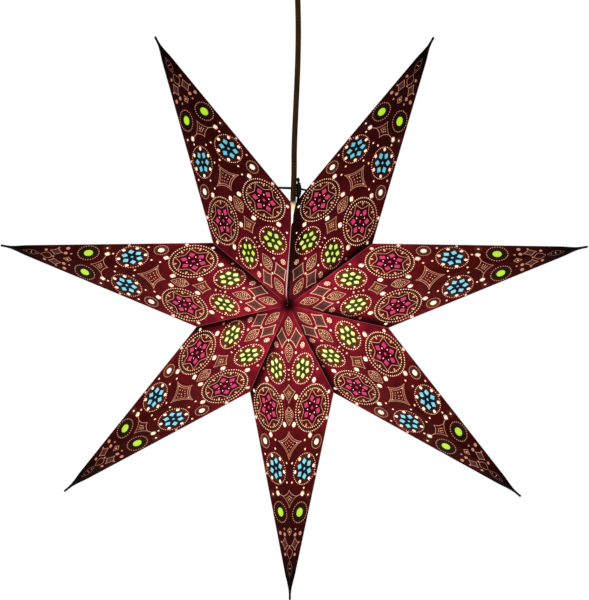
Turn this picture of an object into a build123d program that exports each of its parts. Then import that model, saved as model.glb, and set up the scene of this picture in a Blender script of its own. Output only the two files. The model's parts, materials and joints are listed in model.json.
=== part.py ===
from build123d import *
import os
from math import asin, cos, degrees, pi, radians, sin, sqrt, tan

# A folding paper star lantern: seven pierced card points stand round a screw-in lamp, which hangs on
# a pendant cord from a ceiling cup. The open seam at the top lets the star be untied and fanned shut.
# Millimetres, +Z up, the star's front towards -Y, the origin in the middle of the ceiling plate's top.

# Star
POINTS = 7
TIP_RADIUS = 300.0  # star centre to the tip of a point
NOTCH_RADIUS = 100.0  # star centre to the inner corner between two points
APEX_DEPTH = 75.0  # mid-plane to the front apex, and to the rear one
SEAM_GAP = 4.96  # degrees left open between the first and the last point
CARD = 0.4  # folded card
PAPER = 0.15  # coloured paper behind the windows
CENTRE_HOLE = 2.5  # radius of the hole where all the points meet
TAB_WIDTH = 8.0  # glue tab along each valley
TAB_START = 10.0  # distance of the tab's ends from the apex and from the notch
EDGE_MARGIN = 3.0  # windows and papers stay this far from a fold
TAB_CLEARANCE = 0.4  # papers and windows stay this far from a tab
FLAP_START = 25.0  # seam flap's near end and far end, along the valley from the apex
FLAP_END = 94.0
FLAP_REACH = 7.8  # across the seam
FLAP_SINK = 4.5  # inwards at its free edge
FLAP_TAPER = 6.0

# Windows on each wall: the place is a share of the way to the tip and a share of the way to the notch
PINK_PLACE = (0.192, 0.516)
PINK_PETAL = (5.6, 10.7, 14.3)  # inner corner, side corners and outer corner, from the middle
PINK_SPREAD = 21.5  # degrees from a petal's middle to its side corner
LIME_PLACE = (0.119, 0.311)
LIME_STAR = (10.6, 5.5)  # outer and inner corners
GREEN_PLACE = (0.633, 0.230)
GREEN_SPOT = 5.0
BLUE_PLACE = (0.451, 0.338)
BLUE_STAR = (11.0, 5.2)
PETALS = 6
PAPER_OVERLAP = 1.6  # paper beyond the window that it closes

# Place of the star under the ceiling
STAR_DROP = 378.0  # ceiling to the star's centre
STAR_SHIFT = -4.5  # the slack cord carries the star a little to the left

# Cord and the string that ties the seam
CORD_DIAMETER = 5.2
CORD_ROUTE = [(0.0, -128.0), (-1.4, -168.0), (-4.5, -212.0)]  # X and Z between the gland and the lamp
ARC_SHARE = 0.45  # a bend's arc starts this share of the shorter run beside it
STRING_DIAMETER = 1.5
TIE_REACH = 17.0  # from the notch along the point's outer edge to the string
STRING_GAP = 0.3  # half the room between the string and the cord
EDGE_GAP = 0.7  # string's end to the card's edge
STRING_BEND = 8.0  # radius of the string's bend behind the cord
KNOT_OFFSET = 5.3  # knot's middle to the right of the cord
KNOT_SET_BACK = 2.0  # knot's middle behind the cord's axis
KNOT_REACH = 2.7  # knot's middle to the strings that run into it
KNOT_TURNS = [(0.0, 1.7, 1.8), (0.2, -1.2, 2.2), (0.3, -4.2, 2.0)]  # X, Z and radius of the knot's lumps
TAILS = [(-0.8, 0.4, 9.0), (0.5, -0.2, -7.0)]  # the string's two ends, from the knot's middle
TAIL_LOOP = 1.4  # radius of the doubled end of a tail

# Lamp holder
HOLDER_RADIUS = 13.5
HOLDER_WALL = 1.6
SEAT_CLEARANCE = 0.4  # star's valleys above the holder's shoulder
CAP_TOP_RADIUS = 4.9
CAP_LENGTH = 22.0  # straight side of the cap
CAP_CEILING = 8.0  # solid top of the cap above the cord grip
CORD_CLEARANCE = 0.3
GRIP_RADIUS = 7.6
GRIP_LENGTH = 6.0
SPIGOT_LENGTH = 4.0  # cap's thread inside the skirt
THREAD_CLEARANCE = 0.2
SKIRT_LENGTH = 38.0
LEDGE_WIDTH = 2.6
LEDGE_HEIGHT = 1.5
CORE_THICKNESS = 8.0
CORE_CLEARANCE = 0.3
WIRE_DIAMETER = 1.6
WIRE_SPACING = 3.0
SLEEVE_RADIUS = 7.25  # inside of the screw sleeve
SLEEVE_WALL = 0.35
SLEEVE_LENGTH = 21.0
SLEEVE_FLANGE = 1.4
TONGUE_WIDTH = 3.0
TONGUE_LENGTH = 8.0
TONGUE_SHEET = 0.4
TONGUE_DROP = 3.0  # core to the lamp's end contact

# Golf-ball lamp
BULB_LENGTH = 78.0
BULB_RADIUS = 22.5
GLASS = 0.8
LAMP_CAP_RADIUS = 6.95
LAMP_CAP_LENGTH = 17.0
LAMP_CAP_WALL = 0.4
NECK_CLEARANCE = 0.1
NECK_DEPTH = 6.0  # glass neck inside the cap
NECK_BLEND = 9.0
INSULATOR_HEIGHT = 2.6
CONTACT_RADIUS = 2.4
CONTACT_HEIGHT = 1.2
STEM_RADIUS = 2.2
HUB_RADIUS = 5.4
HUB_HEIGHT = 1.2
FILAMENT_RADIUS = 0.8
FILAMENT_LENGTH = 26.0
FILAMENTS = 4

# Ceiling cup
CUP_RADIUS = 38.0
CUP_DEPTH = 42.0
CUP_WALL = 1.2
CUP_ROUND = 16.0
PLATE_THICKNESS = 1.6
PLATE_CLEARANCE = 0.4
MOUNT_SPACING = 50.0
MOUNT_HOLE = 4.5  # diameter
SUPPLY_HOLE = 6.0  # radius
SUPPLY_OFFSET = 21.0
EAR_WIDTH = 10.0
EAR_LENGTH = 12.0
EAR_INSET = 1.6  # ear to the cup's wall
SCREW_DEPTH = 8.0  # ceiling to the cup's screws
SCREW_RADIUS = 1.4
SCREW_HEAD = (2.8, 1.8)  # radius and height
SCREW_CLEARANCE = 0.1
TERMINAL_SIZE = (22.0, 16.0, 11.0)
TERMINAL_WAYS = 3
TERMINAL_HOLE = 1.8  # radius
GLAND_RADIUS = 5.0  # threaded stem through the cup
GLAND_FLANGE = (9.0, 4.0)  # half width across corners and height
GLAND_LENGTH = 12.0  # below the flange
GLAND_TAPER = 1.5
GLAND_STEM = 6.0  # thread above the cup's floor
NUT_SIZE = (8.5, 4.0)
MOUTH_ANGLE = 20.0  # bell mouth, from the cord's axis
PIVOT_DEPTH = 8.0  # bell mouth's depth, where the cord starts to bend
GLAND_CLEARANCE = 0.1

HALF_ANGLE = (360.0 - SEAM_GAP) / POINTS / 2
CORD_RADIUS = CORD_DIAMETER / 2
CORD_BORE = CORD_RADIUS + CORD_CLEARANCE

os.makedirs("parts", exist_ok=True)


def write(name, part):
    part.label = name
    export_step(part, f"parts/{name}.step")


# One point lies along +X here, with its depth along Y and its width along Z
apex = Vector(0, -APEX_DEPTH, 0)
tip = Vector(TIP_RADIUS, 0, 0)
notch = Vector(NOTCH_RADIUS * cos(radians(HALF_ANGLE)), 0, NOTCH_RADIUS * sin(radians(HALF_ANGLE)))
outward = (tip - apex).cross(notch - apex).normalized()
wall = Plane(origin=apex, x_dir=tip - apex, z_dir=outward)
wall_tip = (tip - apex).dot(wall.x_dir)
wall_notch = Vector((notch - apex).dot(wall.x_dir), (notch - apex).dot(wall.y_dir))


def on_wall(place):
    """Flat position of a place that is given as shares of the way to the tip and to the notch."""
    toward_tip, toward_notch = place
    return (wall_tip * toward_tip + wall_notch.X * toward_notch, wall_notch.Y * toward_notch)


def wall_field(fold_margin, valley_margin):
    """Corners of the wall's triangle, drawn in from its two folds and from its valley."""
    double_area = wall_tip * wall_notch.Y
    ridge_share = fold_margin * wall_tip / double_area
    edge_share = fold_margin * (wall_notch - Vector(wall_tip, 0)).length / double_area
    valley_share = valley_margin * wall_notch.length / double_area
    return [
        on_wall((valley_share, ridge_share)),
        on_wall((1 - ridge_share - edge_share, ridge_share)),
        on_wall((valley_share, 1 - edge_share - valley_share)),
    ]


def polar(radius, angle):
    return (radius * cos(radians(angle)), radius * sin(radians(angle)))


def star_outline(corners, count):
    """Corners of a star window with its first tip along the fold."""
    half_step = 180.0 / count
    return [polar(corners[i % 2], i * half_step) for i in range(2 * count)]


field = wall_field(EDGE_MARGIN, TAB_WIDTH + TAB_CLEARANCE)
inner, side, outer = PINK_PETAL
petal = [(inner, 0), polar(side, PINK_SPREAD), (outer, 0), polar(side, -PINK_SPREAD)]

# The windows of one wall, mirrored to the other three
with BuildPart() as windows:
    with BuildSketch(wall):
        with Locations(on_wall(PINK_PLACE)):
            with PolarLocations(0, PETALS):
                Polygon(*petal, align=None)
        with Locations(on_wall(LIME_PLACE)):
            Polygon(*star_outline(LIME_STAR, PETALS), align=None)
        with Locations(on_wall(BLUE_PLACE)):
            Polygon(*star_outline(BLUE_STAR, PETALS), align=None)
        with Locations(on_wall(GREEN_PLACE)):
            Circle(GREEN_SPOT)
        Polygon(*field, align=None, mode=Mode.INTERSECT)
    extrude(amount=2 * CARD, both=True)
    mirror(about=Plane.XZ)
    mirror(about=Plane.XY)

# A full point: half of it is a loft from the plane between two points to the tip
boundary = Plane(
    origin=(0, 0, 0),
    x_dir=(cos(radians(HALF_ANGLE)), 0, sin(radians(HALF_ANGLE))),
    z_dir=(-sin(radians(HALF_ANGLE)), 0, cos(radians(HALF_ANGLE))),
)
with BuildPart() as full_point:
    with BuildSketch(boundary) as boundary_section:
        Polygon((0, -APEX_DEPTH), (NOTCH_RADIUS, 0), (0, APEX_DEPTH), align=None)
    loft(sections=[boundary_section.sketch.face(), Vertex(*tip)], ruled=True)
    mirror(about=Plane.XY)

# The four walls slope alike, so a copy drawn back along the point leaves walls of even thickness
with BuildPart() as folded_point:
    add(full_point.part)
    with Locations((-CARD / outward.X, 0, 0)):
        add(full_point.part, mode=Mode.SUBTRACT)
    add(windows.part, mode=Mode.SUBTRACT)
    Cylinder(CENTRE_HOLE, 3 * APEX_DEPTH, rotation=(90, 0, 0), mode=Mode.SUBTRACT)


def glued_papers(patches):
    """Coloured papers on the inside of a point's four walls; patches are places and radii."""
    with BuildPart() as papers:
        with BuildSketch(wall.offset(-CARD)):
            for place, radius in patches:
                with Locations(on_wall(place)):
                    RegularPolygon(radius + PAPER_OVERLAP, PETALS)
            Polygon(*field, align=None, mode=Mode.INTERSECT)
        extrude(amount=-PAPER)
        mirror(about=Plane.XZ)
        mirror(about=Plane.XY)
    return papers.part


# The tabs along one valley, under the walls that they are glued to, first on one front wall
valley_run = wall_notch.normalized()
tab_run = Vector(valley_run.Y, -valley_run.X) * TAB_WIDTH
tab_ends = [TAB_START, wall_notch.length - TAB_START]
tab_corners = [
    valley_run * tab_ends[0],
    valley_run * tab_ends[1],
    valley_run * (tab_ends[1] - TAB_WIDTH) + tab_run,
    valley_run * (tab_ends[0] + TAB_WIDTH) + tab_run,
]
with BuildPart() as front_tab:
    with BuildSketch(wall.offset(-CARD)):
        Polygon(*[(corner.X, corner.Y) for corner in tab_corners], align=None)
    extrude(amount=-CARD)
    mirror(about=Plane.XZ)
with BuildPart() as clockwise_tabs:
    mirror(front_tab.part, about=Plane.XY)

# Loose flaps of the last point, which close the seam and tuck in behind the first point
seam_run = Vector(NOTCH_RADIUS, APEX_DEPTH).normalized()
seam_inward = Vector(-seam_run.Y, seam_run.X)


def flap_edge(shorter, sink):
    """Section of a flap along the valley: shorter at both ends, and so far in from the wall's outside."""
    start = Vector(0, -APEX_DEPTH) + seam_inward * sink
    ends = [FLAP_START + shorter, FLAP_END - shorter]
    outer = [start + seam_run * end for end in ends]
    inner = [corner + seam_inward * CARD for corner in reversed(outer)]
    return [(corner.X, corner.Y) for corner in outer + inner]


with BuildPart() as seam_flaps:
    with BuildSketch(boundary):
        Polygon(*flap_edge(0, 0), align=None)
    with BuildSketch(boundary.offset(FLAP_REACH)):
        Polygon(*flap_edge(FLAP_TAPER, FLAP_SINK), align=None)
    loft(ruled=True)
    mirror(about=Plane.XZ)

shared_shapes = {
    "point": folded_point.part,
    "pink_papers": glued_papers([(PINK_PLACE, PINK_PETAL[2])]),
    "lime_papers": glued_papers([(LIME_PLACE, LIME_STAR[0]), (GREEN_PLACE, GREEN_SPOT)]),
    "blue_papers": glued_papers([(BLUE_PLACE, BLUE_STAR[0])]),
}


def point_angle(number):
    """Direction of a point, counted from the open seam round to the left, from +X towards +Z."""
    return 90.0 + SEAM_GAP / 2 + (2 * number - 1) * HALF_ANGLE


def point_place(number):
    return Location((STAR_SHIFT, 0, -STAR_DROP), (0, -point_angle(number), 0))


for number in range(1, POINTS + 1):
    pieces = dict(shared_shapes)
    if number > 1:
        pieces["glue_tabs"] = clockwise_tabs.part
    for name, shape in pieces.items():
        with BuildPart() as piece:
            with Locations(point_place(number)):
                add(shape)
        write(f"{name}_{number}", piece.part)

with BuildPart() as loose_tabs:
    with Locations(point_place(POINTS)):
        add(seam_flaps.part)
write("seam_tabs", loose_tabs.part)

# The lamp hangs in the seam. Heights from here on are above the star's centre
lamp_plane = Plane(origin=(STAR_SHIFT, 0, -STAR_DROP), x_dir=(1, 0, 0), z_dir=(0, -1, 0))
lamp_axis = Axis((STAR_SHIFT, 0, -STAR_DROP), (0, 0, 1))
seam_slope = APEX_DEPTH / NOTCH_RADIUS
card_across = CARD / sqrt(boundary.x_dir.dot(outward) ** 2 + outward.Y**2)
seat_drop = (SEAT_CLEARANCE + card_across) * sqrt(1 + seam_slope**2) / seam_slope


def seat_height(radius):
    """Height at which the holder's shoulder, just under the seam's valleys, has this radius."""
    return NOTCH_RADIUS - radius / seam_slope - seat_drop


cap_top = seat_height(CAP_TOP_RADIUS)
cap_shoulder = seat_height(HOLDER_RADIUS)
cap_rim = cap_shoulder - CAP_LENGTH
cap_ceiling = cap_top - CAP_CEILING
holder_bore = HOLDER_RADIUS - HOLDER_WALL
spigot_radius = holder_bore - THREAD_CLEARANCE
core_top = cap_rim - SPIGOT_LENGTH
core_bottom = core_top - CORE_THICKNESS
grip_bore = GRIP_RADIUS + THREAD_CLEARANCE
flare_height = cap_ceiling - GRIP_LENGTH
flare_run = holder_bore - grip_bore


def turned(points):
    """A solid turned round the lamp's axis from an outline of radii and heights."""
    with BuildPart() as solid:
        with BuildSketch(lamp_plane):
            with BuildLine():
                Polyline(*points, close=True)
            make_face()
        revolve(axis=lamp_axis)
    return solid.part


write(
    "holder_cap",
    turned(
        [
            (spigot_radius - HOLDER_WALL, core_top),
            (spigot_radius, core_top),
            (spigot_radius, cap_rim),
            (HOLDER_RADIUS, cap_rim),
            (HOLDER_RADIUS, cap_shoulder),
            (CAP_TOP_RADIUS, cap_top),
            (CORD_BORE, cap_top),
            (CORD_BORE, cap_ceiling),
            (grip_bore, cap_ceiling),
            (grip_bore, flare_height),
            (holder_bore, flare_height - flare_run),
            (holder_bore, cap_rim + HOLDER_WALL),
            (spigot_radius - HOLDER_WALL, cap_rim),
        ]
    ),
)

cord_end = cap_ceiling - GRIP_LENGTH - CORD_RADIUS
write(
    "holder_cord_grip",
    turned(
        [
            (CORD_BORE, flare_height),
            (GRIP_RADIUS, flare_height),
            (GRIP_RADIUS, cap_ceiling),
            (CORD_BORE, cap_ceiling),
        ]
    ),
)

skirt_bottom = cap_rim - SKIRT_LENGTH
ledge_bore = holder_bore - LEDGE_WIDTH
write(
    "holder_skirt",
    turned(
        [
            (holder_bore, skirt_bottom),
            (HOLDER_RADIUS, skirt_bottom),
            (HOLDER_RADIUS, cap_rim),
            (holder_bore, cap_rim),
            (holder_bore, core_bottom),
            (ledge_bore, core_bottom),
            (ledge_bore, core_bottom - LEDGE_HEIGHT),
            (holder_bore, core_bottom - LEDGE_HEIGHT - LEDGE_WIDTH),
        ]
    ),
)

wire_spots = [(STAR_SHIFT - WIRE_SPACING / 2, 0), (STAR_SHIFT + WIRE_SPACING / 2, 0)]
with BuildPart() as core:
    with BuildSketch(Plane.XY.offset(core_bottom - STAR_DROP)):
        with Locations((STAR_SHIFT, 0)):
            Circle(holder_bore - CORE_CLEARANCE)
        with Locations(*wire_spots):
            Circle(WIRE_DIAMETER / 2 + THREAD_CLEARANCE, mode=Mode.SUBTRACT)
    extrude(amount=CORE_THICKNESS)
write("holder_core", core.part)

with BuildPart() as wires:
    with BuildSketch(Plane.XY.offset(core_bottom - STAR_DROP)):
        with Locations(*wire_spots):
            Circle(WIRE_DIAMETER / 2)
    extrude(amount=cord_end - core_bottom)
write("holder_wires", wires.part)

sleeve_outer = SLEEVE_RADIUS + SLEEVE_WALL
write(
    "screw_sleeve",
    turned(
        [
            (SLEEVE_RADIUS, core_bottom - SLEEVE_LENGTH),
            (sleeve_outer, core_bottom - SLEEVE_LENGTH),
            (sleeve_outer, core_bottom - SLEEVE_WALL),
            (sleeve_outer + SLEEVE_FLANGE, core_bottom - SLEEVE_WALL),
            (sleeve_outer + SLEEVE_FLANGE, core_bottom),
            (SLEEVE_RADIUS, core_bottom),
        ]
    ),
)

# Sprung tongue under the core, drawn from the side and bent down to the lamp's end contact
contact_top = core_bottom - TONGUE_DROP
with BuildPart() as tongue:
    with BuildSketch(lamp_plane):
        with BuildLine():
            Polyline(
                (-TONGUE_LENGTH / 2, core_bottom),
                (TONGUE_SHEET - TONGUE_LENGTH / 2, core_bottom),
                (TONGUE_SHEET - TONGUE_LENGTH / 2, contact_top + TONGUE_SHEET),
                (TONGUE_LENGTH / 2, contact_top + TONGUE_SHEET),
                (TONGUE_LENGTH / 2, contact_top),
                (-TONGUE_LENGTH / 2, contact_top),
                close=True,
            )
        make_face()
    extrude(amount=TONGUE_WIDTH / 2, both=True)
write("centre_contact", tongue.part)

# Golf-ball lamp: cap, insulator and contact above, glass below
insulator_bottom = contact_top - CONTACT_HEIGHT - INSULATOR_HEIGHT
lamp_cap_bottom = insulator_bottom - LAMP_CAP_LENGTH
neck_radius = LAMP_CAP_RADIUS - LAMP_CAP_WALL - NECK_CLEARANCE
neck_top = lamp_cap_bottom + NECK_DEPTH
ball_height = contact_top - BULB_LENGTH + BULB_RADIUS
write(
    "bulb_contact",
    turned(
        [
            (0, contact_top - CONTACT_HEIGHT),
            (CONTACT_RADIUS, contact_top - CONTACT_HEIGHT),
            (CONTACT_RADIUS - CONTACT_HEIGHT / 2, contact_top),
            (0, contact_top),
        ]
    ),
)
write(
    "bulb_insulator",
    turned(
        [
            (0, insulator_bottom),
            (LAMP_CAP_RADIUS - LAMP_CAP_WALL, insulator_bottom),
            (CONTACT_RADIUS, contact_top - CONTACT_HEIGHT),
            (0, contact_top - CONTACT_HEIGHT),
        ]
    ),
)
write(
    "bulb_cap",
    turned(
        [
            (LAMP_CAP_RADIUS - LAMP_CAP_WALL, lamp_cap_bottom),
            (LAMP_CAP_RADIUS, lamp_cap_bottom),
            (LAMP_CAP_RADIUS, insulator_bottom),
            (LAMP_CAP_RADIUS - LAMP_CAP_WALL, insulator_bottom),
        ]
    ),
)


def ball_with_neck(inset):
    """The lamp's glass, drawn in by an inset; the neck runs up into the cap."""
    radius = BULB_RADIUS - inset
    neck = neck_radius - inset
    blend = NECK_BLEND + inset
    reach = radius + blend
    blend_drop = sqrt(reach**2 - (neck + blend) ** 2)
    touch = Vector(neck + blend, blend_drop) * (radius / reach)
    turn = radians((degrees(asin((neck + blend) / reach)) + 90) / 2)
    middle = (neck + blend - blend * sin(turn), ball_height + blend_drop - blend * cos(turn))
    with BuildPart() as glass:
        with BuildSketch(lamp_plane):
            with BuildLine():
                Line((0, ball_height - radius), (0, neck_top))
                Line((0, neck_top), (neck, neck_top))
                Line((neck, neck_top), (neck, ball_height + blend_drop))
                ThreePointArc((neck, ball_height + blend_drop), middle, (touch.X, ball_height + touch.Y))
                ThreePointArc((touch.X, ball_height + touch.Y), (radius, ball_height), (0, ball_height - radius))
            make_face()
        revolve(axis=lamp_axis)
    return glass.part


with BuildPart() as bulb_glass:
    add(ball_with_neck(0))
    add(ball_with_neck(GLASS), mode=Mode.SUBTRACT)
write("bulb_glass", bulb_glass.part)

upper_hub = ball_height + FILAMENT_LENGTH / 2
lower_hub = ball_height - FILAMENT_LENGTH / 2
filament_circle = HUB_RADIUS - FILAMENT_RADIUS
write(
    "bulb_stem",
    turned(
        [
            (0, lower_hub - HUB_HEIGHT),
            (HUB_RADIUS, lower_hub - HUB_HEIGHT),
            (HUB_RADIUS, lower_hub),
            (STEM_RADIUS, lower_hub),
            (STEM_RADIUS, upper_hub),
            (HUB_RADIUS, upper_hub),
            (HUB_RADIUS, upper_hub + HUB_HEIGHT),
            (STEM_RADIUS, upper_hub + HUB_HEIGHT),
            (STEM_RADIUS, neck_top - HUB_HEIGHT),
            (neck_radius - GLASS - NECK_CLEARANCE, neck_top - HUB_HEIGHT),
            (neck_radius - GLASS - NECK_CLEARANCE, neck_top),
            (0, neck_top),
        ]
    ),
)
with BuildPart() as filaments:
    with BuildSketch(Plane.XY.offset(lower_hub - STAR_DROP)):
        with Locations((STAR_SHIFT, 0)):
            with PolarLocations(filament_circle, FILAMENTS):
                Circle(FILAMENT_RADIUS)
    extrude(amount=FILAMENT_LENGTH)
write("bulb_filaments", filaments.part)

# Ceiling plate with two ears for the cup's screws
cup_bore = CUP_RADIUS - CUP_WALL
ear_outer = cup_bore - EAR_INSET
screw_plane = Plane(origin=(0, 0, -SCREW_DEPTH), x_dir=(1, 0, 0), z_dir=(0, 1, 0))
with BuildPart() as plate:
    with BuildSketch(Plane.XY.offset(-PLATE_THICKNESS)):
        Circle(cup_bore - PLATE_CLEARANCE)
        with GridLocations(MOUNT_SPACING, 0, 2, 1):
            Circle(MOUNT_HOLE / 2, mode=Mode.SUBTRACT)
        with Locations((0, SUPPLY_OFFSET)):
            Circle(SUPPLY_HOLE, mode=Mode.SUBTRACT)
    extrude(amount=PLATE_THICKNESS)
    with BuildSketch(Plane.XY.offset(-PLATE_THICKNESS)):
        with GridLocations(0, 2 * ear_outer - PLATE_THICKNESS, 1, 2):
            Rectangle(EAR_WIDTH, PLATE_THICKNESS)
    extrude(amount=-EAR_LENGTH)
    with BuildSketch(screw_plane):
        Circle(SCREW_RADIUS + SCREW_CLEARANCE)
    extrude(amount=CUP_RADIUS, both=True, mode=Mode.SUBTRACT)
write("ceiling_plate", plate.part)

# Cup: a turned shell, open towards the ceiling
with BuildPart() as cup:
    Cylinder(CUP_RADIUS, CUP_DEPTH, align=(Align.CENTER, Align.CENTER, Align.MAX))
    fillet(cup.edges().filter_by(GeomType.CIRCLE).sort_by(Axis.Z)[0], CUP_ROUND)
    offset(amount=-CUP_WALL, openings=cup.faces().sort_by(Axis.Z)[-1])
    with Locations((0, 0, -CUP_DEPTH)):
        Hole(GLAND_RADIUS + GLAND_CLEARANCE, 2 * CUP_DEPTH)
    with BuildSketch(screw_plane):
        Circle(SCREW_RADIUS + SCREW_CLEARANCE)
    extrude(amount=2 * CUP_RADIUS, both=True, mode=Mode.SUBTRACT)
write("ceiling_cup", cup.part)

head_radius, head_height = SCREW_HEAD
with BuildPart() as cup_screws:
    with BuildSketch(screw_plane.offset(CUP_RADIUS)):
        Circle(head_radius)
    extrude(amount=head_height)
    with BuildSketch(screw_plane.offset(ear_outer - PLATE_THICKNESS)):
        Circle(SCREW_RADIUS)
    extrude(amount=CUP_RADIUS + PLATE_THICKNESS - ear_outer)
    mirror(about=Plane.XZ)
write("cup_screws", cup_screws.part)

terminal_length, terminal_width, terminal_height = TERMINAL_SIZE
terminal_bottom = -PLATE_THICKNESS - terminal_height
with BuildPart() as terminal:
    with BuildSketch(Plane.XY.offset(terminal_bottom)):
        Rectangle(terminal_length, terminal_width)
    extrude(amount=terminal_height)
    fillet(terminal.edges().filter_by(Axis.Z), TERMINAL_HOLE)
    with BuildSketch(Plane.XZ.offset(terminal_width / 2)):
        with Locations((0, terminal_bottom + terminal_height / 2)):
            with GridLocations(terminal_length / TERMINAL_WAYS, 0, TERMINAL_WAYS, 1):
                Circle(TERMINAL_HOLE)
    extrude(amount=-terminal_width / 3, mode=Mode.SUBTRACT)
write("terminal_block", terminal.part)

# Cord gland: a threaded stem through the cup's floor, a hexagon and a bell mouth for the cord
flange_radius, flange_height = GLAND_FLANGE
flange_bottom = -CUP_DEPTH - flange_height
gland_mouth = flange_bottom - GLAND_LENGTH
pivot = gland_mouth + PIVOT_DEPTH
mouth_radius = CORD_BORE + PIVOT_DEPTH * tan(radians(MOUTH_ANGLE))
gland_end = mouth_radius + CUP_WALL
stem_top = GLAND_STEM + CUP_WALL - CUP_DEPTH
with BuildPart() as gland:
    with BuildSketch(Plane.XY.offset(-CUP_DEPTH)):
        RegularPolygon(flange_radius, 6)
    extrude(amount=-flange_height)
    with BuildSketch(Plane.XZ):
        with BuildLine():
            Polyline(
                (0, stem_top),
                (GLAND_RADIUS, stem_top),
                (GLAND_RADIUS, flange_bottom),
                (gland_end + GLAND_TAPER - CUP_WALL, flange_bottom),
                (gland_end, gland_mouth),
                (0, gland_mouth),
                close=True,
            )
        make_face()
    revolve(axis=Axis.Z)
    with BuildSketch(Plane.XZ):
        with BuildLine():
            Polyline(
                (0, stem_top),
                (CORD_BORE, stem_top),
                (CORD_BORE, pivot),
                (mouth_radius, gland_mouth),
                (0, gland_mouth),
                close=True,
            )
        make_face()
    revolve(axis=Axis.Z, mode=Mode.SUBTRACT)
write("cord_gland", gland.part)

nut_radius, nut_height = NUT_SIZE
with BuildPart() as gland_nut:
    with BuildSketch(Plane.XY.offset(CUP_WALL - CUP_DEPTH)):
        RegularPolygon(nut_radius, 6)
        Circle(GLAND_RADIUS + GLAND_CLEARANCE, mode=Mode.SUBTRACT)
    extrude(amount=nut_height)
write("gland_nut", gland_nut.part)

# Cord: a short tail inside the cup, then the free cord, which starts with a round end at its pivot
tail_bottom = pivot + CORD_RADIUS + CORD_CLEARANCE
with BuildPart() as cord_tail:
    with BuildSketch(Plane.XY.offset(tail_bottom)):
        Circle(CORD_RADIUS)
    extrude(amount=terminal_bottom - tail_bottom)
write("cord_tail", cord_tail.part)

route = [(0, pivot)] + CORD_ROUTE + [(STAR_SHIFT, cord_end - STAR_DROP)]
corners = [Vector(x, 0, z) for x, z in route]
radii = []
for before, corner, after in zip(corners, corners[1:], corners[2:]):
    half_turn = (corner - before).get_angle(after - corner) / 2
    shorter = min((corner - before).length, (after - corner).length)
    radii.append(ARC_SHARE * shorter / tan(radians(half_turn)))
with BuildPart() as cord:
    with BuildLine() as cord_path:
        FilletPolyline(*corners, radius=radii)
    with BuildSketch(Plane(origin=cord_path.line @ 0, z_dir=cord_path.line % 0)):
        Circle(CORD_RADIUS)
    sweep()
    with Locations((0, 0, pivot)):
        Sphere(CORD_RADIUS)
write("pendant_cord", cord.part)
cord_length = sum(edge.length for edge in cord_path.edges())
print("cord length", round(cord_length, 1), "bend radii", [round(radius) for radius in radii])
print("cord volume over section times length", round(cord.part.volume / cord_length / pi / CORD_RADIUS**2, 3))

# String that ties the seam: from edge to edge behind the cord, with a knot and two tails beside it
string_radius = STRING_DIAMETER / 2
edge_run = (tip - notch).normalized() * TIE_REACH
left_edge = (point_place(1) * Pos(notch.X + edge_run.X, 0, -notch.Z - edge_run.Z)).position
right_edge = (point_place(POINTS) * Pos(*(notch + edge_run))).position
behind = Vector(STAR_SHIFT, CORD_RADIUS + 2 * STRING_GAP + string_radius, left_edge.Z)
knot_middle = Vector(STAR_SHIFT + KNOT_OFFSET, KNOT_SET_BACK, right_edge.Z)
left_start = left_edge + (behind - left_edge).normalized() * EDGE_GAP
left_end = knot_middle + (behind - knot_middle).normalized() * KNOT_REACH
right_start = knot_middle + (right_edge - knot_middle).normalized() * KNOT_REACH
right_end = right_edge + (knot_middle - right_edge).normalized() * EDGE_GAP

with BuildPart() as left_string:
    with BuildLine() as left_path:
        FilletPolyline(left_start, behind, left_end, radius=STRING_BEND)
    with BuildSketch(Plane(origin=left_path.line @ 0, z_dir=left_path.line % 0)):
        Circle(string_radius)
    sweep()
write("tie_string_left", left_string.part)

with BuildPart() as right_string:
    with BuildLine() as right_path:
        Line(right_start, right_end)
    with BuildSketch(Plane(origin=right_path.line @ 0, z_dir=right_path.line % 0)):
        Circle(string_radius)
    sweep()
write("tie_string_right", right_string.part)

with BuildPart() as knot:
    for across, height, radius in KNOT_TURNS:
        with Locations(knot_middle + Vector(across, 0, height)):
            Sphere(radius)
    for tail in TAILS:
        tail_end = knot_middle + Vector(*tail)
        with BuildSketch(Plane(origin=knot_middle, z_dir=Vector(*tail))):
            Circle(string_radius)
        extrude(amount=Vector(*tail).length)
        with Locations(tail_end):
            Sphere(TAIL_LOOP)
write("tie_knot", knot.part)
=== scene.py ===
# %% [markdown]
# # A paper star lantern, lit from inside
# The star is seven folded card points round a lamp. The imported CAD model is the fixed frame: the lamp and
# the ceiling fitting keep their CAD shapes, while the card, its papers, the cord and the string are built
# here as meshes and curves, because pierced card and twisted string are what Blender shows best.

# %% Load the frame
import json
import math
from functools import partial

import bpy
from mathutils import Matrix, Vector
from mathutils.geometry import delaunay_2d_cdt


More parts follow.
